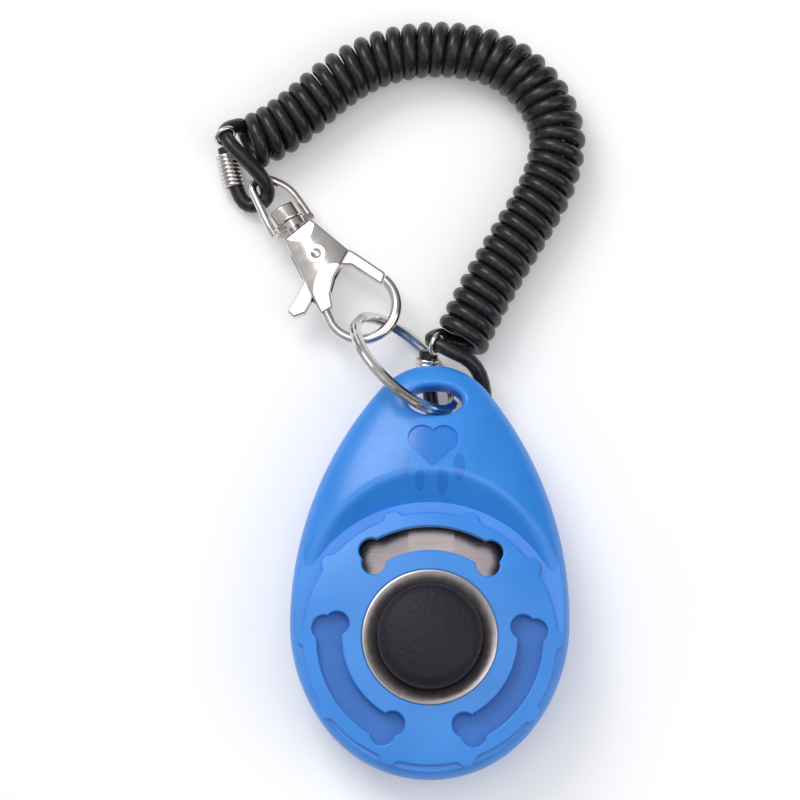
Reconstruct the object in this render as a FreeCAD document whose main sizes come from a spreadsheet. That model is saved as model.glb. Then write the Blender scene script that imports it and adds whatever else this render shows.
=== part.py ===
import FreeCAD, Part
import os
import Sketcher
from FreeCAD import Placement, Rotation, Vector
from math import cos, hypot, pi, radians, sin, sqrt, tan

# Dog-training clicker on a wrist cord: an egg-shaped casing with a push button over a spring-steel
# click plate, a split ring through the casing's tip, a snap hook on a swivel, and a curly cord whose
# ends are looped and clamped round the swivel's eye and the split ring.
# Millimetres. The casing lies on its back on Z = 0, the button's axis is the Z axis, and +Y runs
# towards the ring hole. +X is to the right when the button is seen from above.

SIZES = {
    # casing
    "egg_half_width": 22.05,
    "egg_widest_y": 2.9,
    "egg_bottom_y": -22.0,
    "egg_tip_y": 44.0,
    "lower_side_radius": 27.45,
    "upper_side_radius": 57.5,
    "parting_z": 10.4,
    "front_rise": 7.5,
    "back_depth": 11.0,
    "casing_wall": 1.8,
    "seat_z": 12.7,
    "seat_radius": 21.7,
    "scoop_slope_radius": 29.4,
    "scoop_slope_rise": 6.0,
    "seat_floor": 1.6,
    "cavity_top_y": 30.5,
    "ring_hole_length": 8.8,
    "ring_hole_width": 5.0,
    "ring_hole_x": 0.3,
    "ring_hole_y": 37.85,
    "ring_hole_rounding": 0.8,
    "paw_depth": 0.35,
    "peg_radius": 1.4,
    "peg_clearance": 0.05,
    "peg_circle_radius": 17.0,
    # face plate
    "plate_radius": 19.95,
    "plate_rim": 1.0,
    "plate_crown": 1.5,
    "lobe_radius": 1.6,
    "lobe_centre_radius": 19.4,
    "lobe_blend": 0.5,
    "plate_edge_rounding": 0.25,
    "ridge_rounding": 2.0,
    "plate_hole_radius": 10.65,
    "bone_inner_radius": 13.8,
    "bone_outer_radius": 17.7,
    "bone_half_angle": 33.0,
    "knob_outer_centre": 16.6,
    "knob_outer_angle": 34.5,
    "knob_outer_radius": 1.95,
    "knob_inner_centre": 14.7,
    "knob_inner_angle": 37.6,
    "knob_inner_radius": 1.9,
    # bezel and button
    "bezel_outer_radius": 10.6,
    "bezel_top_z": 15.2,
    "bezel_inner_radius": 8.3,
    "bezel_inner_z": 13.9,
    "bezel_bottom_z": 11.6,
    "bezel_skirt_wall": 0.8,
    "button_radius": 8.22,
    "button_shoulder_z": 18.0,
    "button_top_z": 19.6,
    "button_flange_radius": 9.6,
    "button_flange_z": 11.45,
    "button_flange_thickness": 0.9,
    "button_wall": 1.4,
    "button_roof_z": 17.4,
    "plunger_radius": 2.2,
    "button_travel": 1.3,
    # click plate
    "spring_half_width": 11.5,
    "spring_channel_half": 3.6,
    "spring_wing_drop": 1.1,
    "spring_thickness": 0.4,
    "spring_low_y": -10.0,
    "spring_high_y": 22.6,
    "spring_top_z": 9.95,
    "anchor_low_y": 19.8,
    "front_rib_half_width": 8.0,
    "back_rib_half_width": 3.4,
    "anchor_gap": 0.15,
    # split ring
    "ring_mean_radius": 10.1,
    "ring_wire_width": 1.35,
    "ring_wire_height": 0.76,
    "ring_turn_gap": 0.05,
    "ring_ramp_angle": 36.0,
    # snap hook
    "hook_tilt": 3.8,
    "hook_yaw": 33.5,
    "hook_x": -19.1,
    "hook_y": 62.4,
    "hook_z": 4.88,
    "hook_body_thickness": 4.8,
    "hook_crown_radius": 12.0,
    "hook_rounding": 0.45,
    "hook_slot_width": 2.3,
    "hook_wire_radius": 0.9,
    "lever_thickness": 2.1,
    "lever_rounding": 0.45,
    "rivet_radius": 0.9,
    "rivet_head_radius": 1.5,
    "rivet_head_rise": 0.3,
    "rivet_clearance": 0.05,
    "trigger_wire_radius": 0.15,
    # swivel
    "post_radius": 1.1,
    "post_clearance": 0.06,
    "post_head_radius": 2.5,
    "post_head_length": 2.7,
    "eye_wire_radius": 0.7,
    "eye_plate_thickness": 1.2,
    "eye_roll": 24.0,
    # cord
    "cord_radius": 1.2,
    "coil_radius": 4.7,
    "clamp_wire_radius": 0.35,
    "clamp_outer_radius": 1.95,
    "clamp_bore_radius": 1.22,
}

# Placed by hand: the split ring hangs slanted through the ring hole.
RING_CENTRE = (-4.68, 44.36, 9.72)
RING_NORMAL = (0.62, 0.61, 0.493)

# The coil's centre line, seen from above; it lies on the ground.
COIL_CORNERS = [(-30.7, 81.0), (-26.0, 82.6), (-13.2, 94.9), (0.2, 98.0), (12.5, 95.3), (20.1, 85.3),
                (18.6, 75.6), (12.6, 65.3), (6.8, 55.0), (4.1, 48.7)]

# Plain ends of the cord: over the last turn of the coil, round the metal loop and back into the clamp.
UPPER_CORD = [(-32.6, 84.2, 4.8), (-34.8, 82.8, 6.6), (-33.3, 79.9, 8.4), (-30.2, 77.2, 7.5),
              (-27.5, 74.5, 5.9), (-27.1, 72.3, 3.0), (-29.9, 71.1, 1.5), (-32.31, 72.75, 2.0),
              (-34.56, 81.2, 2.0)]
LOWER_CORD = [(0.8, 49.9, 4.8), (-1.0, 48.9, 6.9), (2.2, 46.6, 8.4), (6.6, 44.6, 6.8), (8.4, 39.6, 3.2),
              (7.6, 35.4, 1.6), (0.8, 35.6, 1.4), (-0.5, 39.6, 1.8), (-1.2, 47.6, 4.5)]
UPPER_CLAMP = ((-32.7, 74.2, 2.0), (-34.3, 80.2, 2.0))
LOWER_CLAMP = ((-0.64, 41.2, 2.34), (-1.13, 46.8, 4.23))

os.makedirs("parts", exist_ok=True)
doc = FreeCAD.newDocument("ClickerTrainer")
sheet = doc.addObject("Spreadsheet::Sheet", "Sizes")
for row, (alias, value) in enumerate(SIZES.items(), start=1):
    sheet.set("A%d" % row, alias)
    sheet.set("B%d" % row, str(value))
    sheet.setAlias("B%d" % row, alias)
doc.recompute()

NODES = []
Z_AXIS = Vector(0, 0, 1)


def size(alias):
    return float(sheet.get(alias))


def bind(thing, **expressions):
    """Bind properties to sheet expressions; a double underscore in a keyword stands for a dot."""
    for path, expression in expressions.items():
        thing.setExpression(path.replace("__", "."), expression)
    return thing


def sized(words):
    """Turn bare aliases in an expression into references to the sheet."""
    out = []
    for word in words.split():
        out.append("Sizes." + word if word in SIZES else word)
    return " ".join(out)


def node(thing, label):
    thing.Label = label
    NODES.append(thing)
    return thing


# --- part primitives -------------------------------------------------------------------------------

def cylinder(name, radius, height, base="0", x="0", y="0"):
    thing = doc.addObject("Part::Cylinder", name)
    bind(thing, Radius=sized(radius), Height=sized(height))
    place(thing, x, y, base)
    return thing


def box(name, length, width, height, x, y, base):
    thing = doc.addObject("Part::Box", name)
    bind(thing, Length=sized(length), Width=sized(width), Height=sized(height))
    place(thing, x, y, base)
    return thing


def place(thing, x, y, z):
    bind(thing, Placement__Base__x=sized(x), Placement__Base__y=sized(y), Placement__Base__z=sized(z))


def from_shape(name, shape):
    thing = doc.addObject("Part::Feature", name)
    thing.Shape = shape
    return thing


def cut(name, base, tool):
    thing = doc.addObject("Part::Cut", name)
    thing.Base = base
    thing.Tool = tool
    return thing


def common(name, base, tool):
    thing = doc.addObject("Part::Common", name)
    thing.Base = base
    thing.Tool = tool
    return thing


def fuse(name, shapes):
    thing = doc.addObject("Part::MultiFuse", name)
    thing.Shapes = shapes
    thing.Refine = True
    return thing


def rounded(name, base, radius, wanted):
    """Part::Fillet on the edges that the test function picks, given each edge and the faces beside it."""
    doc.recompute()
    shape = base.Shape
    reach = size(radius)
    picked = []
    for index, edge in enumerate(shape.Edges, start=1):
        if wanted(edge, shape.ancestorsOfType(edge, Part.Face)):
            picked.append((index, reach, reach))
    thing = doc.addObject("Part::Fillet", name)
    thing.Base = base
    thing.Edges = picked
    return thing


def beside(surface, other=None):
    """Test for an edge of a face with the given kind of surface, met by the other kind if one is given."""
    def wanted(edge, faces):
        kinds = [type(face.Surface) for face in faces]
        return surface in kinds and (other is None or other in kinds)
    return wanted


# --- bodies and sketches ---------------------------------------------------------------------------

def new_body(label):
    body = doc.addObject("PartDesign::Body", label)
    return node(body, label)


def origin_plane(body, role):
    for feature in body.Origin.OriginFeatures:
        if feature.Role == role:
            return feature


def new_sketch(body, name, role, offset=None):
    sketch = body.newObject("Sketcher::SketchObject", name)
    sketch.AttachmentSupport = [(origin_plane(body, role), "")]
    sketch.MapMode = "FlatFace"
    if offset:
        bind(sketch, AttachmentOffset__Base__z=sized(offset))
    return sketch


def pin(sketch, geometry, point, axis, expression):
    """Hold one coordinate of a sketch point at a sheet expression, or on an axis when it is zero."""
    if expression == "0":
        line = -2 if axis == "X" else -1
        sketch.addConstraint(Sketcher.Constraint("PointOnObject", geometry, point, line))
        return
    at = sketch.getPoint(geometry, point)
    value = at.x if axis == "X" else at.y
    limit = sketch.addConstraint(Sketcher.Constraint("Distance" + axis, -1, 1, geometry, point, value))
    sketch.setExpression("Constraints[%d]" % limit, sized(expression))


def number(expression):
    """Value of a sheet expression, for a sketch point's first position."""
    return float(sheet.evalExpression(sized(expression)))


def arc_between(start, end, radius, side):
    """Arc from start to end that bulges to the left of the way there when side is 1."""
    along = end - start
    left = Vector(-along.y, along.x, 0).normalize() * side
    half = along.Length / 2
    sagitta = radius - sqrt(radius ** 2 - half ** 2)
    return Part.Arc(start, start + along * 0.5 + left * sagitta, end)


def polygon(sketch, corners, arcs=()):
    """Closed outline whose corners are pairs of sheet expressions.

    Each entry of arcs turns the side that starts at a corner into an arc: (corner, radius, side).
    """
    points = [Vector(number(x), number(y), 0) for x, y in corners]
    count = len(points)
    bends = {corner: (radius, side) for corner, radius, side in arcs}
    ends = []
    for index in range(count):
        start = points[index]
        end = points[(index + 1) % count]
        if index in bends:
            radius, side = bends[index]
            sketch.addGeometry(arc_between(start, end, number(radius), side))
            limit = sketch.addConstraint(Sketcher.Constraint("Radius", index, number(radius)))
            sketch.setExpression("Constraints[%d]" % limit, sized(radius))
        else:
            sketch.addGeometry(Part.LineSegment(start, end))
        forward = (sketch.getPoint(index, 1) - start).Length < 1e-6
        ends.append((1, 2) if forward else (2, 1))
    for index in range(count):
        following = (index + 1) % count
        joint = Sketcher.Constraint("Coincident", index, ends[index][1], following, ends[following][0])
        sketch.addConstraint(joint)
    for index, (x, y) in enumerate(corners):
        pin(sketch, index, ends[index][0], "X", x)
        pin(sketch, index, ends[index][0], "Y", y)


def circle(sketch, x, y, radius):
    centre = Vector(number(x), number(y), 0)
    index = sketch.addGeometry(Part.Circle(centre, Z_AXIS, number(radius)))
    limit = sketch.addConstraint(Sketcher.Constraint("Radius", index, number(radius)))
    sketch.setExpression("Constraints[%d]" % limit, sized(radius))
    pin(sketch, index, 3, "X", x)
    pin(sketch, index, 3, "Y", y)


def revolve(body, name, sketch, angle=360.0):
    feature = body.newObject("PartDesign::Revolution", name)
    feature.Profile = sketch
    feature.ReferenceAxis = (sketch, ["V_Axis"])
    feature.Angle = angle
    return feature


def pad(body, name, sketch, length, midplane=False):
    feature = body.newObject("PartDesign::Pad", name)
    feature.Profile = sketch
    feature.Midplane = midplane
    bind(feature, Length=sized(length))
    return feature


def round_edges(body, name, base, radius, wanted):
    """Fillet the edges of a feature that the test function picks out."""
    doc.recompute()
    names = ["Edge%d" % (i + 1) for i, edge in enumerate(base.Shape.Edges) if wanted(edge)]
    feature = body.newObject("PartDesign::Fillet", name)
    feature.Base = (base, names)
    feature.Radius = radius
    return feature


def ring_edge_at(radius, z):
    """Test for a circular edge of the given radius and height about the Z axis."""
    def wanted(edge):
        round_one = isinstance(edge.Curve, Part.Circle)
        return round_one and abs(edge.Curve.Radius - radius) < 0.01 and abs(edge.Curve.Center.z - z) < 0.01
    return wanted


# --- casing ----------------------------------------------------------------------------------------

def egg_half_face(inset):
    """Right half of the egg outline, moved inwards by inset and closed along the Y axis."""
    half_width = size("egg_half_width")
    widest = size("egg_widest_y")
    low = size("egg_bottom_y")
    high = size("egg_tip_y")
    side_low = size("lower_side_radius")
    side_high = size("upper_side_radius")
    below = widest - low
    above = high - widest
    bottom_radius = ((side_low - half_width) ** 2 + below ** 2 - side_low ** 2) / (2 * (below - side_low))
    tip_radius = ((side_high - half_width) ** 2 + above ** 2 - side_high ** 2) / (2 * (above - side_high))
    bottom_centre = Vector(0, low + bottom_radius, 0)
    low_centre = Vector(half_width - side_low, widest, 0)
    high_centre = Vector(half_width - side_high, widest, 0)
    tip_centre = Vector(0, high - tip_radius, 0)
    low_way = (bottom_centre - low_centre).normalize()
    high_way = (tip_centre - high_centre).normalize()
    arcs = [
        (bottom_centre, bottom_radius, Vector(0, -1, 0), low_way),
        (low_centre, side_low, low_way, Vector(1, 0, 0)),
        (high_centre, side_high, Vector(1, 0, 0), high_way),
        (tip_centre, tip_radius, high_way, Vector(0, 1, 0)),
    ]
    edges = []
    for centre, radius, first, last in arcs:
        reach = radius - inset
        middle = (first + last).normalize()
        arc = Part.Arc(centre + first * reach, centre + middle * reach, centre + last * reach)
        edges.append(arc.toShape())
    spine = Part.LineSegment(Vector(0, high - inset, 0), Vector(0, low + inset, 0))
    edges.append(spine.toShape())
    return Part.Face(Part.Wire(edges))


def pebble(inset, rise):
    """Egg of revolution, flattened so that its widest place rises by rise from the parting plane."""
    egg = egg_half_face(inset).revolve(Vector(0, 0, 0), Vector(0, 1, 0), 360)
    flatten = FreeCAD.Matrix()
    flatten.scale(Vector(1, 1, rise / (size("egg_half_width") - inset)))
    egg = egg.transformGeometry(flatten)
    egg.translate(Vector(0, 0, size("parting_z")))
    return egg


def slice_between(shape, low, high, high_y=60.0):
    """Part of the shape between two heights and below a limit along Y."""
    return shape.common(Part.makeBox(120, 60 + high_y, high - low, Vector(-60, -60, low)))


def oval_prism(name, half_length, half_width, low, high):
    """Upright oval prism at the ring hole."""
    centre = Vector(size("ring_hole_x"), size("ring_hole_y"), low)
    curve = Part.Ellipse(centre, half_length, half_width)
    face = Part.Face(Part.Wire([curve.toShape()]))
    return from_shape(name, face.extrude(Vector(0, 0, high - low)))


def polar(radius, degrees, z=0.0):
    return Vector(radius * cos(radians(degrees)), radius * sin(radians(degrees)), z)


def bone_prism(middle, low, high, grow=0.0):
    """Prism of one bone-shaped window, centred on the bearing middle and widened all round by grow."""
    inner = size("bone_inner_radius") - grow
    outer = size("bone_outer_radius") + grow
    half_angle = size("bone_half_angle")
    depth = high - low
    shaft = Part.makeCylinder(outer, depth, Vector(0, 0, low), Z_AXIS, 2 * half_angle)
    shaft = shaft.cut(Part.makeCylinder(inner, depth, Vector(0, 0, low)))
    shaft.rotate(Vector(0, 0, 0), Z_AXIS, middle - half_angle)
    knobs = []
    for side in (-1, 1):
        for which in ("outer", "inner"):
            reach = size("knob_%s_centre" % which)
            bearing = middle + side * size("knob_%s_angle" % which)
            radius = size("knob_%s_radius" % which) + grow
            knobs.append(Part.makeCylinder(radius, depth, polar(reach, bearing, low)))
    return shaft.multiFuse(knobs).removeSplitter()


def paw_prism(low, high):
    """Prism of the paw print: a heart-shaped pad towards the ring hole and four toes towards the button."""
    depth = high - low
    pad_left = Part.makeCylinder(2.25, depth, Vector(-1.75, 31.45, low))
    pad_right = Part.makeCylinder(2.25, depth, Vector(1.75, 31.45, low))
    point = [Vector(-3.7, 30.3, low), Vector(-0.9, 27.6, low), Vector(0.9, 27.6, low), Vector(3.7, 30.3, low)]
    point += [Vector(1.9, 32.5, low), Vector(-1.9, 32.5, low)]
    wedge = Part.Face(Part.makePolygon(point + point[:1])).extrude(Vector(0, 0, depth))
    tip = Part.makeCylinder(1.0, depth, Vector(0, 28.1, low))
    shapes = [pad_right, wedge, tip]
    for x, y, half_width, half_length in PAW_TOES:
        curve = Part.Ellipse(Vector(x, y, low), half_length, half_width)
        curve.rotate(Placement(Vector(0, 0, 0), Rotation(Z_AXIS, 90), Vector(x, y, low)))
        shapes.append(Part.Face(Part.Wire([curve.toShape()])).extrude(Vector(0, 0, depth)))
    return pad_left.multiFuse(shapes).removeSplitter()


# centre x, centre y, half width, half length of each toe
PAW_TOES = [
    (-4.2, 27.2, 0.8, 1.75),
    (4.2, 27.0, 0.95, 2.3),
    (-1.95, 24.9, 0.75, 1.75),
    (1.6, 24.8, 0.9, 2.1),
]
BONE_BEARINGS = (90.0, 210.0, 330.0)
PEG_BEARINGS = (-125.0, -55.0, 28.0, 152.0)

wall = size("casing_wall")
front_rise = size("front_rise")
back_depth = size("back_depth")
parting = size("parting_z")
seat = size("seat_z")
floor_low = seat - size("seat_floor")
high_above = parting + front_rise + 4

front_outer = from_shape("FrontOuter", slice_between(pebble(0.0, front_rise), parting, high_above))
back_outer = from_shape("BackOuter", slice_between(pebble(0.0, back_depth), 0, parting))

seat_cutter = cylinder("SeatCutter", "seat_radius", "front_rise", "seat_z")
scoop_cutter = doc.addObject("Part::Cone", "ScoopCutter")
bind(scoop_cutter, Radius1=sized("seat_radius"), Radius2=sized("scoop_slope_radius"))
bind(scoop_cutter, Height=sized("scoop_slope_rise"))
place(scoop_cutter, "0", "0", "seat_z")


def cavity(name, rise, low, high):
    """Hollow of one casing half, kept clear of the solid tip round the ring hole."""
    inner = pebble(wall, rise - wall)
    return from_shape(name, slice_between(inner, low, high, size("cavity_top_y")))


front_cavity = cavity("FrontCavity", front_rise, parting - 1, floor_low)
dome_hollow = cavity("DomeHollow", front_rise, parting - 1, high_above)
scoop_guard = doc.addObject("Part::Cone", "ScoopGuard")
bind(scoop_guard, Radius1=sized("seat_radius + casing_wall"))
bind(scoop_guard, Radius2=sized("scoop_slope_radius + casing_wall"), Height=sized("scoop_slope_rise"))
place(scoop_guard, "0", "0", "seat_z - casing_wall / 2")
seat_guard = cylinder("SeatGuard", "seat_radius + casing_wall", "front_rise * 2", "parting_z - front_rise")
dome_cavity = cut("DomeCavity", dome_hollow, fuse("DomeGuards", [scoop_guard, seat_guard]))
button_hole = cylinder("ButtonHole", "button_flange_radius + 0.15", "front_rise * 2", "parting_z")


def window_prism(low, high):
    """Opening in the seat floor under the top bone window, through which the click plate shows."""
    depth = high - low
    inner = size("knob_inner_centre") - size("knob_inner_radius") - 0.6
    outer = size("plate_radius") - 1.2
    sweep = 2 * (size("knob_inner_angle") + 9)
    ring = Part.makeCylinder(outer, depth, Vector(0, 0, low), Z_AXIS, sweep)
    ring = ring.cut(Part.makeCylinder(inner, depth, Vector(0, 0, low)))
    ring.rotate(Vector(0, 0, 0), Z_AXIS, 90 - sweep / 2)
    return ring


window = from_shape("FloorWindow", window_prism(parting, seat + 1))
half_hole_length = size("ring_hole_length") / 2
half_hole_width = size("ring_hole_width") / 2
ring_hole_front = oval_prism("RingHoleFront", half_hole_length, half_hole_width, -5, 40)
ring_hole_back = oval_prism("RingHoleBack", half_hole_length, half_hole_width, -5, 40)
doc.recompute()


def shallow_print(outer, prism, depth):
    """Part of the prism that lies within depth below the outer surface."""
    sunk = outer.copy()
    sunk.translate(Vector(0, 0, -depth))
    return prism.common(outer).cut(sunk)


def peg_tools(kind):
    """The bosses under the seat floor, or the pegs that stand up from the back shell into them."""
    shapes = []
    reach = size("peg_circle_radius")
    radius = size("peg_radius")
    for bearing in PEG_BEARINGS:
        if kind == "boss":
            low = parting - 0.4
            shapes.append(Part.makeCylinder(radius + 1.3, floor_low + 0.4 - low, polar(reach, bearing, low)))
        elif kind == "hole":
            low = parting - 1.0
            shapes.append(Part.makeCylinder(radius, floor_low + 0.7 - low, polar(reach, bearing, low)))
        else:
            shaft = radius - size("peg_clearance")
            shapes.append(Part.makeCylinder(radius + 1.3, parting - 0.45 - 2, polar(reach, bearing, 2)))
            shapes.append(Part.makeCylinder(shaft, floor_low + 0.5 - 2, polar(reach, bearing, 2)))
    return shapes[0].multiFuse(shapes[1:])


def anchor_rib(half_width, low, high):
    """Rib that holds the click plate's upper end, from below or from above."""
    low_y = size("anchor_low_y")
    corner = Vector(-half_width, low_y, low)
    return Part.makeBox(2 * half_width, size("spring_high_y") - low_y, high - low, corner)


spring_top = size("spring_top_z")
spring_bottom = spring_top - size("spring_thickness")
gap = size("anchor_gap")
front_bosses = from_shape("FrontBosses", peg_tools("boss"))
rib_top = floor_low + 0.5
front_rib = from_shape("FrontRib", anchor_rib(size("front_rib_half_width"), spring_top + gap, rib_top))
peg_holes = from_shape("PegHoles", peg_tools("hole"))

front_scooped = cut("FrontScooped", front_outer, fuse("FrontScoops", [seat_cutter, scoop_cutter]))
front_skin = rounded("FrontSkin", front_scooped, "ridge_rounding", beside(Part.Cone, Part.BSplineSurface))
front_solid = cut("FrontHollowed", front_skin, fuse("FrontHollow", [front_cavity, dome_cavity]))
front_body = fuse("FrontRibbed", [front_solid, front_bosses, front_rib])
doc.recompute()
paw_shape = shallow_print(front_skin.Shape, paw_prism(seat, high_above), size("paw_depth"))
paw_cutter = from_shape("PawCutter", paw_shape)
front_cut = cut("FrontCut", front_body, fuse("FrontCuts", [
    button_hole, window, ring_hole_front, paw_cutter, peg_holes]))


def round_the_hole(edge, faces):
    """Test for the mouth of the ring hole, but not its edge on the parting plane."""
    hole_x = size("ring_hole_x")
    hole_y = size("ring_hole_y")
    reach_x = size("ring_hole_length") / 2 + 0.1
    reach_y = size("ring_hole_width") / 2 + 0.1
    bounds = edge.BoundBox
    level = bounds.ZLength < 0.01
    upright = bounds.XLength < 0.01
    near_x = hole_x - reach_x < bounds.XMin and bounds.XMax < hole_x + reach_x
    near_y = hole_y - reach_y < bounds.YMin and bounds.YMax < hole_y + reach_y
    return near_x and near_y and not level and not upright


node(rounded("FrontShell", front_cut, "ring_hole_rounding", round_the_hole), "front_shell")

back_cavity = cavity("BackCavity", back_depth, 0, parting + 1)
back_hollowed = cut("BackHollowed", back_outer, back_cavity)
back_rib = anchor_rib(size("back_rib_half_width"), 2, spring_bottom - gap)
back_posts = from_shape("BackPosts", peg_tools("peg").fuse(back_rib))
back_inside = common("BackInside", back_posts, from_shape(
    "BackReach", back_outer.Shape.fuse(Part.makeCylinder(60, 10, Vector(0, 0, parting - 0.45)))))
back_ribbed = fuse("BackRibbed", [back_hollowed, back_inside])
back_cut = cut("BackCut", back_ribbed, ring_hole_back)
node(rounded("BackShell", back_cut, "ring_hole_rounding", round_the_hole), "back_shell")


# --- face plate ------------------------------------------------------------------------------------

def plate_dome():
    """Ball whose top is the plate's crowned face."""
    outer = size("plate_radius")
    inner = size("plate_hole_radius")
    radius = (outer ** 2 - inner ** 2) / (2 * size("plate_crown"))
    centre_z = seat + size("plate_rim") - sqrt(radius ** 2 - outer ** 2)
    return Part.makeSphere(radius, Vector(0, 0, centre_z), Z_AXIS, 0, 90, 360)


def plate_blank():
    depth = 6.0
    disc = Part.makeCylinder(size("plate_radius"), depth, Vector(0, 0, seat))
    lobes = []
    for step in range(10):
        centre = polar(size("lobe_centre_radius"), 36 * step, seat)
        lobes.append(Part.makeCylinder(size("lobe_radius"), depth, centre))
    blank = disc.multiFuse(lobes).removeSplitter()
    corners = [edge for edge in blank.Edges if edge.BoundBox.ZLength > depth - 0.1]
    return blank.makeFillet(size("lobe_blend"), corners)


plate_flat = from_shape("PlateBlank", plate_blank())
plate_body = common("PlateCrowned", plate_flat, from_shape("PlateDome", plate_dome()))
plate_holes = [cylinder("PlateHole", "plate_hole_radius", "front_rise", "seat_z - 1")]
for index, bearing in enumerate(BONE_BEARINGS):
    plate_holes.append(from_shape("Bone%d" % index, bone_prism(bearing, seat - 1, seat + 6)))
plate_cut = cut("PlateCut", plate_body, fuse("PlateCuts", plate_holes))
node(rounded("FacePlate", plate_cut, "plate_edge_rounding", beside(Part.Sphere)), "face_plate")


# --- bezel and button ------------------------------------------------------------------------------

bezel = new_body("bezel_ring")
profile = new_sketch(bezel, "BezelProfile", "XZ_Plane")
polygon(profile, [
    ("bezel_inner_radius", "bezel_bottom_z"),
    ("bezel_inner_radius + bezel_skirt_wall", "bezel_bottom_z"),
    ("bezel_inner_radius + bezel_skirt_wall", "seat_z"),
    ("bezel_outer_radius", "seat_z"),
    ("bezel_outer_radius", "bezel_top_z"),
    ("bezel_outer_radius - 0.25", "bezel_top_z + 0.1"),
    ("bezel_inner_radius", "bezel_inner_z"),
], arcs=[(5, "bezel_outer_radius * 0.45", -1)])
revolve(bezel, "BezelTurned", profile)

button = new_body("click_button")
crown_reach = "button_radius - 1.6"
crown_rise = "button_top_z - button_shoulder_z - 0.75"
crown_radius = "( ( %s ) ^ 2 + ( %s ) ^ 2 ) / ( 2 * ( %s ) )" % (crown_reach, crown_rise, crown_rise)
profile = new_sketch(button, "ButtonProfile", "XZ_Plane")
polygon(profile, [
    ("0", "button_top_z"),
    ("0", "spring_top_z + 0.05"),
    ("plunger_radius - 0.8", "spring_top_z + 0.05"),
    ("plunger_radius", "spring_top_z + 0.6"),
    ("plunger_radius", "button_roof_z"),
    ("button_radius - button_wall", "button_roof_z - 1.4"),
    ("button_radius - button_wall", "button_flange_z - button_flange_thickness"),
    ("button_flange_radius", "button_flange_z - button_flange_thickness"),
    ("button_flange_radius", "button_flange_z"),
    ("button_radius", "button_flange_z"),
    ("button_radius", "button_shoulder_z - 1.2"),
    (crown_reach, "button_shoulder_z + 0.75"),
], arcs=[(10, "button_radius * 0.27", -1), (11, crown_radius, -1)])
revolve(button, "ButtonTurned", profile)


# --- click plate -----------------------------------------------------------------------------------

spring = new_body("click_spring")
profile = new_sketch(spring, "SpringSection", "XZ_Plane", "-1 * spring_high_y")
wing_top = "spring_top_z - spring_wing_drop"
polygon(profile, [
    ("-1 * spring_half_width", wing_top),
    ("-1 * spring_channel_half", "spring_top_z"),
    ("spring_channel_half", "spring_top_z"),
    ("spring_half_width", wing_top),
    ("spring_half_width", wing_top + " - spring_thickness"),
    ("spring_channel_half", "spring_top_z - spring_thickness"),
    ("-1 * spring_channel_half", "spring_top_z - spring_thickness"),
    ("-1 * spring_half_width", wing_top + " - spring_thickness"),
])
pad(spring, "SpringStrip", profile, "spring_high_y - spring_low_y")
doc.recompute()


# --- wires and tubes -------------------------------------------------------------------------------

def route_wire(corners):
    """Straight runs through the corners, joined by tangent arcs."""
    points = [Vector(*corner) for corner in corners]
    edges = []
    at = points[0]
    for before, corner, after in zip(points, points[1:], points[2:]):
        back = (before - corner).normalize()
        on = (after - corner).normalize()
        trim = 0.45 * min((before - corner).Length, (after - corner).Length)
        half_turn = (pi - back.getAngle(on)) / 2
        radius = trim / tan(half_turn)
        bisector = (back + on).normalize()
        centre = corner + bisector * hypot(trim, radius)
        start = corner + back * trim
        end = corner + on * trim
        edges.append(Part.LineSegment(at, start).toShape())
        edges.append(Part.Arc(start, centre - bisector * radius, end).toShape())
        at = end
    edges.append(Part.LineSegment(at, points[-1]).toShape())
    return Part.Wire(edges)


def tube_along(wire, radius):
    """Round solid tube along a wire."""
    first = wire.Edges[0]
    start = first.valueAt(first.FirstParameter)
    way = first.tangentAt(first.FirstParameter)
    ring = Part.Wire([Part.Circle(start, way, radius).toShape()])
    return wire.makePipeShell([ring], True, False)


def tube(corners, radius):
    return tube_along(route_wire(corners), radius)


def swept_tube(name, corners, radius):
    """Sweep of a circle whose radius is bound to the sheet, along a route."""
    wire = route_wire(corners)
    spine = from_shape(name + "Route", wire)
    section = doc.addObject("Part::Circle", name + "Section")
    bind(section, Radius=sized(radius))
    first = wire.Edges[0]
    way = first.tangentAt(first.FirstParameter)
    section.Placement = Placement(first.valueAt(first.FirstParameter), Rotation(Z_AXIS, way))
    sweep = doc.addObject("Part::Sweep", name)
    sweep.Sections = [section]
    sweep.Spine = (spine, ["Edge%d" % (i + 1) for i in range(len(wire.Edges))])
    sweep.Solid = True
    return sweep


def rounded_box(length, width, height, centre, radius):
    """Box about a centre, with every edge rounded."""
    corner = Vector(-length / 2, -width / 2, -height / 2) + centre
    solid = Part.makeBox(length, width, height, corner)
    return solid.makeFillet(radius, solid.Edges)


# --- split ring ------------------------------------------------------------------------------------

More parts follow.
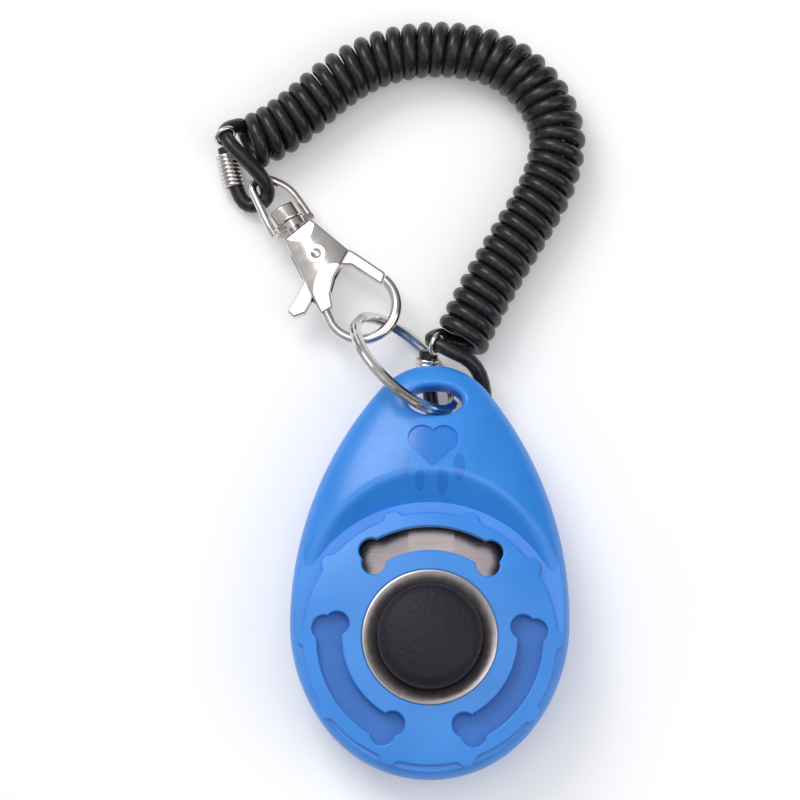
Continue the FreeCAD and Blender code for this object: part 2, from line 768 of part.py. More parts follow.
def split_ring_shape():
    """Two flat turns of wire, one above the other, joined by a short ramp."""
    mean = size("ring_mean_radius")
    half_width = size("ring_wire_width") / 2
    height = size("ring_wire_height")
    rise = height + size("ring_turn_gap")
    ramp = size("ring_ramp_angle")
    chamfer = 0.2

    def section(bearing, lift):
        low = lift - rise / 2 - height / 2
        high = low + height
        inner = mean - half_width
        outer = mean + half_width
        outline = [
            (inner + chamfer, low), (outer - chamfer, low), (outer, low + chamfer),
            (outer, high - chamfer), (outer - chamfer, high), (inner + chamfer, high),
            (inner, high - chamfer), (inner, low + chamfer)]
        corners = [polar(reach, bearing, z) for reach, z in outline]
        return Part.makePolygon(corners + corners[:1])

    sweep = 360 - ramp
    low_turn = Part.Face(section(ramp, 0)).revolve(Vector(0, 0, 0), Z_AXIS, sweep)
    high_turn = Part.Face(section(ramp, rise)).revolve(Vector(0, 0, 0), Z_AXIS, sweep)
    steps = 6
    sections = []
    for step in range(steps + 1):
        part = step / steps
        sections.append(section(ramp * part, rise * part * part * (3 - 2 * part)))
    link = Part.makeLoft(sections, True, False)
    return low_turn.multiFuse([link, high_turn])


ring_normal = Vector(*RING_NORMAL)
split_ring = node(from_shape("SplitRing", split_ring_shape()), "split_ring")
split_ring.Placement = Placement(Vector(*RING_CENTRE), Rotation(Z_AXIS, ring_normal))


# --- snap hook, in its own frame: rivet at the origin, +Y towards the swivel, +X towards the gate ----

def hook_frame():
    """Where the hook's own frame lies in the world."""
    turn = Rotation(Z_AXIS, size("hook_yaw"))
    lean = Rotation(Vector(1, 0, 0), -size("hook_tilt"))
    place_at = Vector(size("hook_x"), size("hook_y"), size("hook_z"))
    return Placement(place_at, turn.multiply(lean))


def prism(points, low, high):
    corners = [Vector(x, y, low) for x, y in points]
    return Part.Face(Part.makePolygon(corners + corners[:1])).extrude(Vector(0, 0, high - low))


HOOK_FRAME = hook_frame()
half_body = size("hook_body_thickness") / 2
half_slot = size("hook_slot_width") / 2
wire_radius = size("hook_wire_radius")
POST_X = -0.5
HOOK_ARC_CENTRE = Vector(1.75, -10.6, 0)
HOOK_ARC_RADIUS = 5.65


def hook_wire():
    """Curved hook: a straight root out of the body, then a round bend up to the nose."""
    centre = HOOK_ARC_CENTRE
    reach = HOOK_ARC_RADIUS
    start = centre + Vector(-reach, 0, 0)
    root = Vector(-3.2, -5.6, 0)
    nose = 24
    line = Part.LineSegment(root, start).toShape()
    bottom = centre + polar(reach, -85)
    end = centre + polar(reach, nose)
    bend = Part.Arc(start, bottom, end).toShape()
    return tube_along(Part.Wire([line, bend]), wire_radius)


def snap_hook_shape():
    body = prism([(-3.0, 4.9), (2.4, 5.6), (4.9, -2.1), (2.7, -3.4), (0.6, -4.5), (-1.4, -6.4), (-2.3, -8.6),
                  (-4.6, -8.6), (-4.35, -6.4), (-3.95, -3.1)], -half_body, half_body)
    side = [(6.0, half_body - 0.5), (3.0, half_body), (-2.5, half_body), (-9.0, wire_radius),
            (-9.0, -wire_radius), (-2.5, -half_body), (3.0, -half_body), (6.0, -half_body + 0.5)]
    corners = [Vector(-10, y, z) for y, z in side]
    taper = Part.Face(Part.makePolygon(corners + corners[:1])).extrude(Vector(20, 0, 0))
    crown = size("hook_crown_radius")
    for side in (-1, 1):
        axis_point = Vector(0, -20, side * (half_body - crown))
        body = body.common(Part.makeCylinder(crown, 40, axis_point, Vector(0, 1, 0)))
    body = round_all(body.common(taper), size("hook_rounding"))
    slot = prism([(-9, 2.5), (9, 2.5), (9, -5.6), (-9, -6.6)], -half_slot, half_slot)
    nose_cut = Part.makeCylinder(NOSE_REACH, 4, Vector(0, 0, -2))
    keep_root = Part.makeBox(5.0, 12, 4, Vector(-5.5, -14, -2))
    wire = hook_wire()
    wire = wire.cut(nose_cut.cut(keep_root))
    bore = Part.makeCylinder(size("rivet_radius"), 10, Vector(0, 0, -5))
    post_bore = Part.makeCylinder(size("post_radius"), 3.4, Vector(POST_X, POST_LOW, 0), Vector(0, 1, 0))
    return body.fuse(wire).cut(slot).cut(bore).cut(post_bore).removeSplitter()


def round_all(solid, radius):
    """Fillet every edge."""
    return solid.makeFillet(radius, solid.Edges)


# Reach of the hook's nose and of the gate's end from the rivet, and the radius of the lever's hub.
NOSE_REACH = 11.62
GATE_REACH = 11.45
HUB_RADIUS = 2.15
HUB_WALL = 0.2
HUB_FLOOR = 0.05
# Sizes of the swivel post and of the eye's bored plate.
POST_LOW = 2.8
POST_HEAD_LOW = 7.2
POST_HEAD_ROUNDING = 0.4
EYE_PLATE_LOW = 5.9
EYE_PLATE_LENGTH = 7.6
EYE_PLATE_WIDTH = 3.0
EYE_PLATE_ROUNDING = 0.4
EYE_COLLAR_RADIUS = 2.35
# Torsion spring: helix radius, pitch and height, and its clearance over the hub's floor.
SPRING_COIL_RADIUS = 1.45
SPRING_PITCH = 0.36
SPRING_HEIGHT = 0.6
SPRING_LIFT = 0.03
# Dimple in each head of the rivet: ball radius and how far its centre stands off the head.
DIMPLE_RADIUS = 1.3
DIMPLE_STANDOFF = 1.0


def trigger_lever_shape():
    """Bell crank: gate arm to the nose, thumb tab out of the body's other side."""
    half = size("lever_thickness") / 2
    hub = Part.makeCylinder(HUB_RADIUS, 2 * half, Vector(0, 0, -half))
    gate = prism([(-0.6, 2.0), (3.3, 0.6), (5.5, -2.6), (8.3, -9.4), (6.4, -10.2), (3.9, -4.3), (0.6, -2.1)],
                 -half, half)
    gate = gate.common(Part.makeCylinder(GATE_REACH, 2 * half, Vector(0, 0, -half)))
    tab = prism([(-0.7, -2.0), (-3.6, -5.3), (-6.6, -7.0), (-8.6, -6.6), (-8.9, -5.2), (-4.3, -2.7),
                 (-1.9, 0.9)], -half, half)
    rounding = size("lever_rounding")
    lever = hub.multiFuse([round_all(gate, rounding), round_all(tab, rounding)]).removeSplitter()
    recess = Part.makeCylinder(HUB_RADIUS - HUB_WALL, 2 * half, Vector(0, 0, HUB_FLOOR))
    bore_radius = size("rivet_radius") + size("rivet_clearance")
    bore = Part.makeCylinder(bore_radius, 4 * half, Vector(0, 0, -2 * half))
    return lever.cut(recess).cut(bore)


def trigger_pin_shape():
    """Rivet with two low heads, each with a dimple."""
    rise = size("rivet_head_rise")
    shank = Part.makeCylinder(size("rivet_radius"), 2 * half_body, Vector(0, 0, -half_body))
    heads = []
    dimples = []
    for side in (-1, 1):
        way = Vector(0, 0, side)
        heads.append(Part.makeCylinder(size("rivet_head_radius"), rise, way * half_body, way))
        dimples.append(Part.makeSphere(DIMPLE_RADIUS, way * (half_body + rise + DIMPLE_STANDOFF)))
    return shank.multiFuse(heads).cut(dimples[0]).cut(dimples[1]).removeSplitter()


def trigger_spring_shape():
    """Torsion spring round the rivet, inside the lever's recess."""
    radius = size("trigger_wire_radius")
    helix = Part.makeHelix(SPRING_PITCH, SPRING_HEIGHT, SPRING_COIL_RADIUS)
    start = Vector(SPRING_COIL_RADIUS, 0, 0)
    ring = Part.Wire([Part.Circle(start, Vector(0, 1, 0), radius).toShape()])
    coil = Part.Wire(helix.Edges).makePipeShell([ring], True, True)
    coil.translate(Vector(0, 0, HUB_FLOOR + radius + SPRING_LIFT))
    return coil


def swivel_post_shape():
    """Post pressed into the hook's body, with a round head inside the eye."""
    up = Vector(0, 1, 0)
    foot = Vector(POST_X, POST_LOW, 0)
    head_foot = Vector(POST_X, POST_HEAD_LOW, 0)
    overlap = 0.5
    shank = Part.makeCylinder(size("post_radius"), POST_HEAD_LOW + overlap - POST_LOW, foot, up)
    head = Part.makeCylinder(size("post_head_radius"), size("post_head_length"), head_foot, up)
    rims = [edge for edge in head.Edges if isinstance(edge.Curve, Part.Circle)]
    head = head.makeFillet(POST_HEAD_ROUNDING, rims)
    return shank.fuse(head).removeSplitter()


def swivel_loop_shape():
    """D-shaped eye: a bored plate across the post and a round wire bowed away from it."""
    thick = size("eye_plate_thickness")
    low = EYE_PLATE_LOW
    middle = Vector(POST_X, low + thick / 2, 0)
    plate = rounded_box(EYE_PLATE_LENGTH, thick, EYE_PLATE_WIDTH, middle, EYE_PLATE_ROUNDING)
    collar = Part.makeCylinder(EYE_COLLAR_RADIUS, thick, Vector(POST_X, low, 0), Vector(0, 1, 0))
    wire = tube([(-4.2, low + 0.4, 0), (-4.15, 8.4, 0), (-3.5, 12.4, 0), (-3.0, 15.9, 0), (0.4, 15.9, 0),
                 (2.9, 12.6, 0), (3.15, 9.2, 0), (3.2, low + 0.4, 0)], size("eye_wire_radius"))
    bore = Part.makeCylinder(size("post_radius") + size("post_clearance"), 5, Vector(POST_X, 4.5, 0),
                             Vector(0, 1, 0))
    loop = plate.multiFuse([collar, wire]).cut(bore).removeSplitter()
    loop.rotate(Vector(POST_X, 0, 0), Vector(0, 1, 0), size("eye_roll"))
    return loop


for label, maker in (
        ("snap_hook", snap_hook_shape),
        ("trigger_lever", trigger_lever_shape),
        ("trigger_pin", trigger_pin_shape),
        ("trigger_spring", trigger_spring_shape),
        ("swivel_post", swivel_post_shape),
        ("swivel_loop", swivel_loop_shape)):
    piece = node(from_shape(label.title().replace("_", ""), maker()), label)
    piece.Placement = HOOK_FRAME.multiply(piece.Placement)


# --- cord ------------------------------------------------------------------------------------------

COIL_Z = size("coil_radius") + 0.05
coil_route = [(x, y, COIL_Z) for x, y in COIL_CORNERS]
node(swept_tube("CoilCord", coil_route, "coil_radius"), "coil_cord")
node(swept_tube("UpperCordLoop", UPPER_CORD, "cord_radius"), "upper_cord_loop")
node(swept_tube("LowerCordLoop", LOWER_CORD, "cord_radius"), "lower_cord_loop")


def clamp_shape(start, end, cord_route, run, share):
    """Close-wound wire clamp from start to end, with an eye round one straight run of the standing cord."""
    wire = size("clamp_wire_radius")
    outer = size("clamp_outer_radius")
    bore = size("clamp_bore_radius")
    start = Vector(*start)
    end = Vector(*end)
    way = (end - start).normalize()
    length = (end - start).Length
    turns = int(length / (2 * wire))
    shapes = []
    for turn in range(turns):
        centre = start + way * (wire + turn * (length - 2 * wire) / (turns - 1))
        shapes.append(Part.makeTorus(outer - wire, wire, centre, way))
    sleeve = Part.makeCylinder(outer - wire, length, start, way)
    before = Vector(*cord_route[run])
    after = Vector(*cord_route[run + 1])
    along = (after - before).normalize()
    eye_centre = before + (after - before) * share
    eye_radius = size("cord_radius") + wire + 0.08
    eye = Part.makeTorus(eye_radius, wire, eye_centre, along)
    top = end - way * wire
    toward = eye_centre - top
    toward = (toward - way * toward.dot(way)).normalize()
    lift = top + toward * (outer - wire)
    reach = (lift - eye_centre)
    reach = (reach - along * reach.dot(along)).normalize()
    landing = eye_centre + reach * eye_radius
    strut = Part.makeCylinder(wire, (landing - lift).Length, lift, landing - lift)
    bore_tool = Part.makeCylinder(bore, length + 4, start - way * 2, way)
    body = sleeve.multiFuse(shapes).cut(bore_tool)
    return body.multiFuse([eye, strut]).removeSplitter()


node(from_shape("UpperClamp", clamp_shape(*UPPER_CLAMP, UPPER_CORD, 1, 0.3)), "upper_clamp")
node(from_shape("LowerClamp", clamp_shape(*LOWER_CLAMP, LOWER_CORD, 1, 0.3)), "lower_clamp")

doc.recompute()


# --- check and export ------------------------------------------------------------------------------

for thing in doc.Objects:
    if "Invalid" in thing.State or "Error" in thing.State:
        raise RuntimeError("%s did not compute" % thing.Label)
for thing in NODES:
    shape = thing.Shape
    if shape.isNull() or not shape.isValid():
        raise RuntimeError("%s has no valid shape" % thing.Label)
for thing in NODES:
    thing.Shape.exportStep("parts/%s.step" % thing.Label)
for name, radius in (("coil", "coil_radius"), ("cord", "cord_radius"), ("clamp", "clamp_outer_radius")):
    print("%s radius %.2f mm" % (name, size(radius)))
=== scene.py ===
from math import cos, pi, radians, sin

import bpy
from mathutils import Matrix, Vector


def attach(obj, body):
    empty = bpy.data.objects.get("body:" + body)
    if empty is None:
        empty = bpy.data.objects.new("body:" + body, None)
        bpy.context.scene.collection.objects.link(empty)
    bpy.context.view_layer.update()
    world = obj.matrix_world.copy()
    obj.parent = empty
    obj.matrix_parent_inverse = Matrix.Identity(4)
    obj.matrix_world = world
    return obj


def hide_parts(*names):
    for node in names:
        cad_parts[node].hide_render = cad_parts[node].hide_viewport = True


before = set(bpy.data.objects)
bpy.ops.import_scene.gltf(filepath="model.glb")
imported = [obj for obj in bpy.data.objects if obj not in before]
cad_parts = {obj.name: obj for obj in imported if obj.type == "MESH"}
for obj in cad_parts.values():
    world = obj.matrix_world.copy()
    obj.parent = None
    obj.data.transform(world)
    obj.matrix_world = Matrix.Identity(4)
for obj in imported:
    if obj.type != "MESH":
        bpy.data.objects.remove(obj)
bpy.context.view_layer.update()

# Dog-training clicker: a blue egg-shaped casing with a black button over a metal click plate, a split
# ring, a snap hook on a swivel and a curly black wrist cord. Metres, in the frame of the CAD model.

UP = Vector((0.0, 0.0, 1.0))

# --- sizes of the cord and its clamps ----------------------------------------------------------------

CORD_RADIUS = 0.0012
COIL_MEAN_RADIUS = 0.00345
COIL_TURNS = 41.5
COIL_Z = 0.00475
POINTS_PER_TURN = 16

COIL_CORNERS = [
    (-0.0307, 0.0810), (-0.0260, 0.0826), (-0.0132, 0.0949), (0.0002, 0.0980), (0.0125, 0.0953),
    (0.0201, 0.0853), (0.0186, 0.0756), (0.0126, 0.0653), (0.0068, 0.0550), (0.0041, 0.0487),
]
UPPER_CORD = [
    (-0.0326, 0.0842, 0.0048), (-0.0348, 0.0828, 0.0066), (-0.0333, 0.0799, 0.0084),
    (-0.0302, 0.0772, 0.0075), (-0.0275, 0.0745, 0.0059), (-0.0271, 0.0723, 0.0030),
    (-0.0299, 0.0711, 0.0015), (-0.03231, 0.07275, 0.0020), (-0.03456, 0.0812, 0.0020),
]
LOWER_CORD = [
    (0.0008, 0.0499, 0.0048), (-0.0010, 0.0489, 0.0069), (0.0025, 0.0469, 0.0085), (0.0071, 0.0450, 0.0068),
    (0.0086, 0.0398, 0.0032), (0.0076, 0.0354, 0.0016), (0.0008, 0.0356, 0.0014), (-0.0005, 0.0396, 0.0018),
    (-0.0012, 0.0476, 0.0045),
]
UPPER_CLAMP = ((-0.0327, 0.0742, 0.0020), (-0.0343, 0.0802, 0.0020))
LOWER_CLAMP = ((-0.00064, 0.0412, 0.00234), (-0.00113, 0.0468, 0.00423))
CLAMP_WIRE_RADIUS = 0.00035
CLAMP_OUTER_RADIUS = 0.00195
CLAMP_TURNS = 8
# Eye of each clamp: where along the cord's second stretch, its slack, and its slide in wire radii per turn.
EYE_SHARE = 0.3
EYE_SLACK = 0.00008
EYE_SLIDE = 1.9


# --- node helpers ------------------------------------------------------------------------------------

def new_material(name):
    """A material with its principled shader, and the object coordinates that its textures read."""
    material = bpy.data.materials.new(name)
    material.use_nodes = True
    tree = material.node_tree
    shader = tree.nodes["Principled BSDF"]
    place = tree.nodes.new("ShaderNodeTexCoord").outputs["Object"]
    return material, tree, shader, place


def stretched(tree, place, scale):
    """Texture coordinates scaled by a different amount along each axis."""
    mapping = tree.nodes.new("ShaderNodeMapping")
    mapping.inputs["Scale"].default_value = scale
    tree.links.new(place, mapping.inputs["Vector"])
    return mapping.outputs["Vector"]


def noise(tree, place, scale, detail=3.0, roughness=0.5):
    """Noise value from 0 to 1; scale is features per metre."""
    node = tree.nodes.new("ShaderNodeTexNoise")
    node.inputs["Scale"].default_value = scale
    node.inputs["Detail"].default_value = detail
    node.inputs["Roughness"].default_value = roughness
    tree.links.new(place, node.inputs["Vector"])
    return node.outputs["Fac"]


def pebbles_on(tree, place, scale):
    """Distance to the middle of rounded cells; scale is cells per metre."""
    node = tree.nodes.new("ShaderNodeTexVoronoi")
    node.feature = "SMOOTH_F1"
    node.inputs["Scale"].default_value = scale
    tree.links.new(place, node.inputs["Vector"])
    return node.outputs["Distance"]


def spread(tree, value, low, high):
    """Maps a 0 to 1 texture value to the range low to high."""
    node = tree.nodes.new("ShaderNodeMapRange")
    node.inputs["From Min"].default_value = 0.25
    node.inputs["From Max"].default_value = 0.75
    node.inputs["To Min"].default_value = low
    node.inputs["To Max"].default_value = high
    tree.links.new(value, node.inputs["Value"])
    return node.outputs["Result"]


def blend_colours(tree, value, first, second, low=0.35, high=0.65):
    """Colour that runs from the first to the second as the value goes from low to high."""
    node = tree.nodes.new("ShaderNodeValToRGB")
    node.color_ramp.elements[0].color = (*first, 1.0)
    node.color_ramp.elements[0].position = low
    node.color_ramp.elements[1].color = (*second, 1.0)
    node.color_ramp.elements[1].position = high
    tree.links.new(value, node.inputs["Fac"])
    return node.outputs["Color"]


def bump(tree, shader, layers):
    """Chains bump nodes, one for each (height, strength, distance) layer."""
    normal = None
    for height, strength, distance in layers:
        node = tree.nodes.new("ShaderNodeBump")
        node.inputs["Strength"].default_value = strength
        node.inputs["Distance"].default_value = distance
        tree.links.new(height, node.inputs["Height"])
        if normal is not None:
            tree.links.new(normal, node.inputs["Normal"])
        normal = node.outputs["Normal"]
    tree.links.new(normal, shader.inputs["Normal"])


def arithmetic(tree, operation, first, second):
    """One maths node; each input is a socket or a plain number."""
    node = tree.nodes.new("ShaderNodeMath")
    node.operation = operation
    for index, value in enumerate((first, second)):
        if isinstance(value, (int, float)):
            node.inputs[index].default_value = value
        else:
            tree.links.new(value, node.inputs[index])
    return node.outputs["Value"]


def ellipse_measure(tree, place, centre_x, centre_y, half_width, half_length):
    """Value that is under 1 inside an upright elliptical column."""
    mapping = tree.nodes.new("ShaderNodeMapping")
    mapping.inputs["Scale"].default_value = (1 / half_width, 1 / half_length, 0.0)
    mapping.inputs["Location"].default_value = (-centre_x / half_width, -centre_y / half_length, 0.0)
    tree.links.new(place, mapping.inputs["Vector"])
    length = tree.nodes.new("ShaderNodeVectorMath")
    length.operation = "LENGTH"
    tree.links.new(mapping.outputs["Vector"], length.inputs[0])
    return length.outputs["Value"]


def shaded(tree, colour, mask, tint):
    """The colour, multiplied by a tint where the mask is 1: painted shade."""
    node = tree.nodes.new("ShaderNodeMixRGB")
    node.blend_type = "MULTIPLY"
    node.inputs["Color2"].default_value = (*tint, 1.0)
    tree.links.new(mask, node.inputs["Fac"])
    tree.links.new(colour, node.inputs["Color1"])
    return node.outputs["Color"]


# --- materials ---------------------------------------------------------------------------------------

# Floor of the round seat under the face plate; the casing inside it and below this height gets painted shade.
SEAT_HEIGHT = 0.0129
SEAT_RADIUS = 0.0195
# Paw print in plan: centre x, centre y, half width and half length of each toe and of the heart's rounds.
PAW_PADS = [
    (-0.0042, 0.0272, 0.0008, 0.00175), (0.0042, 0.0270, 0.00095, 0.0023),
    (-0.00195, 0.0249, 0.00075, 0.00175), (0.0016, 0.0248, 0.0009, 0.0021),
    (-0.00175, 0.03145, 0.00225, 0.00225), (0.00175, 0.03145, 0.00225, 0.00225),
    (0.0, 0.0281, 0.0010, 0.0010),
]
# Straight sides of the heart: half width and height where they start, their slope, and where they end.
HEART_FOOT = (0.0009, 0.0276)
HEART_SLOPE = 0.964
HEART_TOP = 0.0305


def paw_mask(tree, place, x, y):
    """1 inside the paw print."""
    nearest = ellipse_measure(tree, place, *PAW_PADS[0])
    for pad in PAW_PADS[1:]:
        nearest = arithmetic(tree, "MINIMUM", nearest, ellipse_measure(tree, place, *pad))
    pads = arithmetic(tree, "LESS_THAN", nearest, 1.0)
    foot_x, foot_y = HEART_FOOT
    aside = arithmetic(tree, "SUBTRACT", arithmetic(tree, "ABSOLUTE", x, 0.0), foot_x)
    side = arithmetic(tree, "ADD", arithmetic(tree, "MULTIPLY", aside, HEART_SLOPE), foot_y)
    above = arithmetic(tree, "GREATER_THAN", y, side)
    below = arithmetic(tree, "LESS_THAN", y, HEART_TOP)
    heart = arithmetic(tree, "MULTIPLY", above, below)
    return arithmetic(tree, "MAXIMUM", pads, heart)


def casing_plastic():
    """Blue satin ABS with a fine grain: rougher in the windows and glossier in the paw, with painted shade
    darkening both.
    """
    material, tree, shader, place = new_material("casing_plastic")
    split = tree.nodes.new("ShaderNodeSeparateXYZ")
    tree.links.new(place, split.inputs["Vector"])
    below = arithmetic(tree, "LESS_THAN", split.outputs["Z"], SEAT_HEIGHT)
    seat = ellipse_measure(tree, place, 0.0, 0.0, SEAT_RADIUS, SEAT_RADIUS)
    inside = arithmetic(tree, "LESS_THAN", seat, 1.0)
    window_shade_mask = arithmetic(tree, "MULTIPLY", below, inside)
    paw = paw_mask(tree, place, split.outputs["X"], split.outputs["Y"])
    flow = noise(tree, place, 90.0, 2.0)
    colour = blend_colours(tree, flow, (0.022, 0.240, 0.76), (0.030, 0.275, 0.84))
    # Painted shade: the casing inside the round seat and below its floor, seen through the bone windows under
    # the face plate, is darkened.
    colour = shaded(tree, colour, window_shade_mask, (0.66, 0.62, 0.68))
    # Painted shade: the recessed paw print is darkened, most in red, so it reads a deeper blue.
    colour = shaded(tree, colour, paw, (0.70, 0.80, 0.88))
    tree.links.new(colour, shader.inputs["Base Color"])
    satin = spread(tree, noise(tree, place, 700.0), 0.30, 0.40)
    rougher = arithmetic(tree, "ADD", satin, arithmetic(tree, "MULTIPLY", window_shade_mask, 0.25))
    tree.links.new(arithmetic(tree, "SUBTRACT", rougher, arithmetic(tree, "MULTIPLY", paw, 0.15)),
                   shader.inputs["Roughness"])
    shader.inputs["Coat Weight"].default_value = 0.25
    shader.inputs["Coat Roughness"].default_value = 0.18
    shader.inputs["Subsurface Weight"].default_value = 0.06
    shader.inputs["Subsurface Radius"].default_value = (0.0004, 0.0008, 0.002)
    grain = noise(tree, place, 5200.0, 2.0)
    waves = noise(tree, place, 160.0, 1.0)
    bump(tree, shader, [(waves, 0.05, 0.0006), (grain, 0.06, 0.00006)])
    return material


def button_plastic():
    """Black plastic with a shallow leather grain."""
    material, tree, shader, place = new_material("button_plastic")
    pebbles = pebbles_on(tree, place, 1900.0)
    creases = noise(tree, place, 2600.0, 4.0, 0.6)
    colour = blend_colours(tree, creases, (0.008, 0.007, 0.011), (0.018, 0.016, 0.024))
    tree.links.new(colour, shader.inputs["Base Color"])
    tree.links.new(spread(tree, creases, 0.44, 0.60), shader.inputs["Roughness"])
    shader.inputs["Specular IOR Level"].default_value = 0.28
    bump(tree, shader, [(pebbles, 0.45, 0.00020), (creases, 0.35, 0.00010)])
    return material


def polished_metal(name, dark, light, rough_low, rough_high, scratch=0.05):
    """Plated metal with cloudy roughness and fine scratches."""
    material, tree, shader, place = new_material(name)
    shader.inputs["Metallic"].default_value = 1.0
    cloud = noise(tree, place, 350.0, 4.0)
    tree.links.new(blend_colours(tree, cloud, dark, light), shader.inputs["Base Color"])
    smears = noise(tree, place, 900.0)
    tree.links.new(spread(tree, smears, rough_low, rough_high), shader.inputs["Roughness"])
    scratches = noise(tree, stretched(tree, place, (4000.0, 300.0, 1200.0)), 1.0, 3.0)
    bump(tree, shader, [(cloud, 0.04, 0.0004), (scratches, scratch, 0.00003)])
    return material


def brushed_metal():
    """Rolled spring steel, faintly brushed across its width."""
    material, tree, shader, place = new_material("click_plate_steel")
    shader.inputs["Metallic"].default_value = 1.0
    shader.inputs["Anisotropic"].default_value = 0.4
    streaks = noise(tree, stretched(tree, place, (250.0, 9000.0, 250.0)), 1.0, 4.0)
    colour = blend_colours(tree, streaks, (0.25, 0.225, 0.23), (0.31, 0.28, 0.285))
    tree.links.new(colour, shader.inputs["Base Color"])
    tree.links.new(spread(tree, streaks, 0.22, 0.28), shader.inputs["Roughness"])
    bump(tree, shader, [(streaks, 0.04, 0.00004)])
    return material


def cord_plastic():
    """Glossy black cord with a faintly dragged surface."""
    material, tree, shader, place = new_material("cord_plastic")
    drag = noise(tree, place, 1100.0, 3.0)
    colour = blend_colours(tree, drag, (0.010, 0.009, 0.011), (0.021, 0.019, 0.023))
    tree.links.new(colour, shader.inputs["Base Color"])
    tree.links.new(spread(tree, drag, 0.20, 0.32), shader.inputs["Roughness"])
    shader.inputs["Specular IOR Level"].default_value = 0.42
    bump(tree, shader, [(drag, 0.10, 0.00012), (noise(tree, place, 4200.0), 0.06, 0.00004)])
    return material


BLUE = casing_plastic()
BLACK = button_plastic()
CORD = cord_plastic()
NICKEL = polished_metal("nickel", (0.66, 0.62, 0.60), (0.80, 0.77, 0.75), 0.10, 0.20)
RING_STEEL = polished_metal("ring_steel", (0.60, 0.58, 0.57), (0.76, 0.74, 0.73), 0.12, 0.22, 0.08)
BEZEL_METAL = polished_metal("bezel_metal", (0.64, 0.57, 0.58), (0.74, 0.67, 0.68), 0.36, 0.46)
PLATE_STEEL = brushed_metal()

NODE_MATERIALS = {
    "front_shell": BLUE,
    "back_shell": BLUE,
    "face_plate": BLUE,
    "bezel_ring": BEZEL_METAL,
    "click_button": BLACK,
    "click_spring": PLATE_STEEL,
    "split_ring": RING_STEEL,
    "snap_hook": NICKEL,
    "trigger_lever": NICKEL,
    "trigger_pin": NICKEL,
    "trigger_spring": PLATE_STEEL,
    "swivel_post": NICKEL,
    "swivel_loop": NICKEL,
}

for name, material in NODE_MATERIALS.items():
    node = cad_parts[name]
    node.data.materials.clear()
    node.data.materials.append(material)


# --- curves ------------------------------------------------------------------------------------------

def nurbs(name, points, radius=0.0):
    """Open curve object whose one NURBS spline has these points as its control points."""
    curve = bpy.data.curves.new(name, "CURVE")
    curve.dimensions = "3D"
    curve.resolution_u = 4
    curve.bevel_depth = radius
    curve.bevel_resolution = 5
    curve.use_fill_caps = True
    spline = curve.splines.new("NURBS")
    spline.points.add(len(points) - 1)
    for point, where in zip(spline.points, points):
        point.co = (*where, 1.0)
    spline.order_u = 3
    spline.use_endpoint_u = True
    piece = bpy.data.objects.new(name, curve)
    bpy.context.scene.collection.objects.link(piece)
    return piece


def points_on(route):
    """Points of the smooth line that a NURBS spline makes of a route."""
    guide = nurbs("guide", route)
    guide.data.resolution_u = 12
    bpy.context.view_layer.update()
    evaluated = guide.evaluated_get(bpy.context.evaluated_depsgraph_get())
    mesh = bpy.data.meshes.new_from_object(evaluated)
    line = [vertex.co.copy() for vertex in mesh.vertices]
    bpy.data.meshes.remove(mesh)
    bpy.data.objects.remove(guide)
    return line


def walk(line, share):
    """Point and direction at a share of the line's length."""
    lengths = [0.0]
    for before, after in zip(line, line[1:]):
        lengths.append(lengths[-1] + (after - before).length)
    target = share * lengths[-1]
    for index in range(1, len(line)):
        if lengths[index] >= target or index == len(line) - 1:
            step = line[index] - line[index - 1]
            part = (target - lengths[index - 1]) / (lengths[index] - lengths[index - 1])
            return line[index - 1] + step * part, step.normalized()


def coil_points():
    """Turns of the curly stretch, from its lower end to its upper end, wound to the left."""
    line = points_on([(x, y, COIL_Z) for x, y in reversed(COIL_CORNERS)])
    count = int(COIL_TURNS * POINTS_PER_TURN)
    points = []
    for index in range(count + 1):
        centre, way = walk(line, index / count)
        side = UP.cross(way)
        turn = -2 * pi * index / POINTS_PER_TURN
        points.append(centre + (side * cos(turn) + UP * sin(turn)) * COIL_MEAN_RADIUS)
    return points


def wound_clamp(name, ends, route):
    """Close-wound wire clamp whose last turn runs out into an eye round the standing cord."""
    start, end = [Vector(point) for point in ends]
    way = (end - start).normalized()
    side = way.cross(UP).normalized()
    rise = side.cross(way)
    reach = CLAMP_OUTER_RADIUS - CLAMP_WIRE_RADIUS
    first = start + way * CLAMP_WIRE_RADIUS
    length = (end - start).length - 2 * CLAMP_WIRE_RADIUS
    steps = CLAMP_TURNS * POINTS_PER_TURN
    points = []
    for index in range(steps + 1):
        turn = 2 * pi * index / POINTS_PER_TURN
        around = side * cos(turn) + rise * sin(turn)
        points.append(first + way * (length * index / steps) + around * reach)
    before, after = Vector(route[1]), Vector(route[2])
    along = (after - before).normalized()
    centre = before + (after - before) * EYE_SHARE
    eye_radius = CORD_RADIUS + CLAMP_WIRE_RADIUS + EYE_SLACK
    out = points[-1] - centre
    out = (out - along * out.dot(along)).normalized()
    across = along.cross(out)
    for index in range(POINTS_PER_TURN + 1):
        turn = 2 * pi * index / POINTS_PER_TURN
        slide = along * (CLAMP_WIRE_RADIUS * EYE_SLIDE * index / POINTS_PER_TURN)
        points.append(centre + (out * cos(turn) + across * sin(turn)) * eye_radius + slide)
    piece = nurbs(name, points, CLAMP_WIRE_RADIUS)
    piece.data.materials.append(NICKEL)
    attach(piece, "strap")
    return piece


upper_clamp = wound_clamp("upper_wound_clamp", UPPER_CLAMP, UPPER_CORD)
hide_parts("upper_clamp")
lower_clamp = wound_clamp("lower_wound_clamp", LOWER_CLAMP, LOWER_CORD)
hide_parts("lower_clamp")

cord_points = list(reversed(LOWER_CORD))[:-1] + coil_points() + UPPER_CORD[1:]
cord = nurbs("curly_cord", cord_points, CORD_RADIUS)
cord.data.materials.append(CORD)
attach(cord, "strap")
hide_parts("coil_cord", "upper_cord_loop", "lower_cord_loop")


# --- studio ------------------------------------------------------------------------------------------

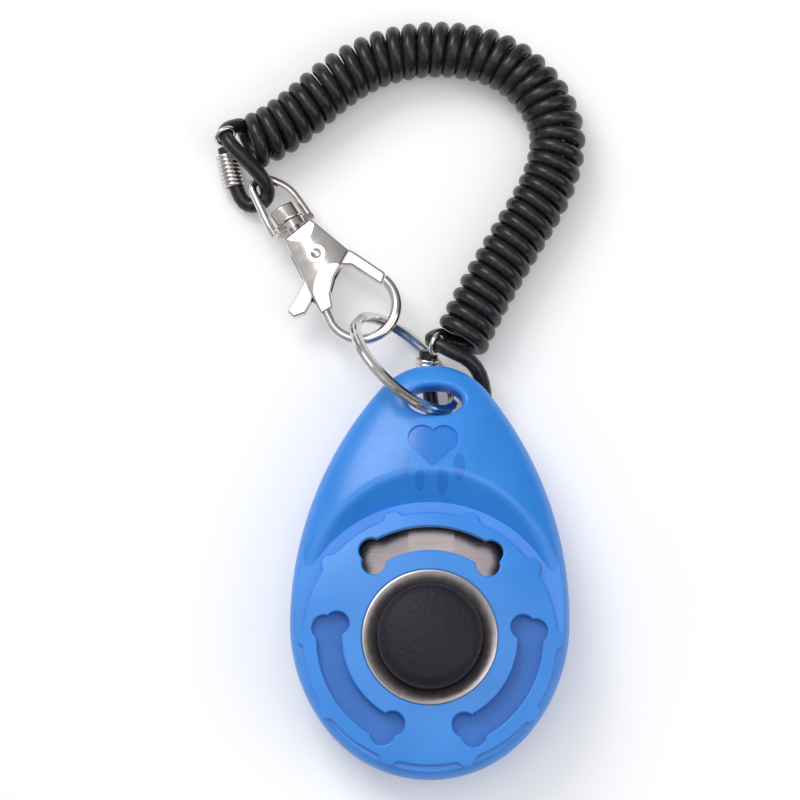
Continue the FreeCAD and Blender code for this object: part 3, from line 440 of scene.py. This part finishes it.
VIEW_TILT = radians(10.0)
VIEW_ROLL = radians(1.0)
LENS = 200.0
SENSOR = 36.0
FIELD = 0.128
BRIGHT_SIDE = (-0.50, 0.25, 0.80)
WORLD_STRENGTH = 0.55
FLOOR_REACH = 3.0
FLOOR_HEIGHT = -0.0003
FLOOR_GLOW = 0.12
TARGET = (-0.0053, 0.03918, 0.00575)


def make_floor():
    """Plain pale paper, with a weak glow that brings it near white."""
    mesh = bpy.data.meshes.new("floor")
    reach = FLOOR_REACH
    corners = [(-reach, -reach, 0.0), (reach, -reach, 0.0), (reach, reach, 0.0), (-reach, reach, 0.0)]
    mesh.from_pydata(corners, [], [(0, 1, 2, 3)])
    floor = bpy.data.objects.new("floor", mesh)
    floor.location.z = FLOOR_HEIGHT
    bpy.context.scene.collection.objects.link(floor)
    material, tree, shader, place = new_material("paper")
    colour = blend_colours(tree, noise(tree, place, 8.0), (0.93, 0.93, 0.94), (0.96, 0.96, 0.96))
    tree.links.new(colour, shader.inputs["Base Color"])
    shader.inputs["Roughness"].default_value = 0.9
    shader.inputs["Emission Color"].default_value = (1.0, 1.0, 1.0, 1.0)
    shader.inputs["Emission Strength"].default_value = FLOOR_GLOW
    mesh.materials.append(material)


def area_light(name, where, size, power):
    """Soft square light aimed at the object's middle."""
    data = bpy.data.lights.new(name, "AREA")
    data.size = size
    data.energy = power
    light = bpy.data.objects.new(name, data)
    light.location = where
    aim = Vector(TARGET) - Vector(where)
    light.rotation_euler = aim.to_track_quat("-Z", "Y").to_euler()
    bpy.context.scene.collection.objects.link(light)


def make_world():
    """Bright to the left and overhead, dim to the right and in front, for the metal to reflect."""
    world = bpy.data.worlds.new("studio")
    bpy.context.scene.world = world
    world.use_nodes = True
    tree = world.node_tree
    place = tree.nodes.new("ShaderNodeTexCoord").outputs["Generated"]
    toward = tree.nodes.new("ShaderNodeVectorMath")
    toward.operation = "DOT_PRODUCT"
    toward.inputs[1].default_value = BRIGHT_SIDE
    tree.links.new(place, toward.inputs[0])
    colour = blend_colours(tree, toward.outputs["Value"], (0.30, 0.28, 0.29), (1.0, 1.0, 1.0), 0.0, 0.85)
    background = tree.nodes["Background"]
    tree.links.new(colour, background.inputs["Color"])
    background.inputs["Strength"].default_value = WORLD_STRENGTH


def make_camera():
    """Long lens, looking down with a slight tilt and roll."""
    toward = Vector((0.0, -sin(VIEW_TILT), cos(VIEW_TILT)))
    up = Vector((0.0, cos(VIEW_TILT), sin(VIEW_TILT)))
    right = Vector((1.0, 0.0, 0.0))
    turned_right = right * cos(VIEW_ROLL) + up * sin(VIEW_ROLL)
    turned_up = up * cos(VIEW_ROLL) - right * sin(VIEW_ROLL)
    data = bpy.data.cameras.new("camera")
    data.lens = LENS
    data.sensor_width = SENSOR
    camera = bpy.data.objects.new("camera", data)
    turn = Matrix((turned_right, turned_up, toward)).transposed().to_4x4()
    where = Vector(TARGET) + toward * (FIELD * LENS / SENSOR)
    camera.matrix_world = Matrix.Translation(where) @ turn
    bpy.context.scene.collection.objects.link(camera)
    bpy.context.scene.camera = camera


make_floor()
make_world()
area_light("key", (-0.25, 0.35, 0.45), 0.30, 1.35)
area_light("fill", (0.40, -0.10, 0.40), 0.40, 0.7)
area_light("top", (0.0, 0.05, 0.70), 0.50, 1.0)
make_camera()
bpy.context.scene.view_settings.view_transform = "Standard"

bpy.context.view_layer.update()
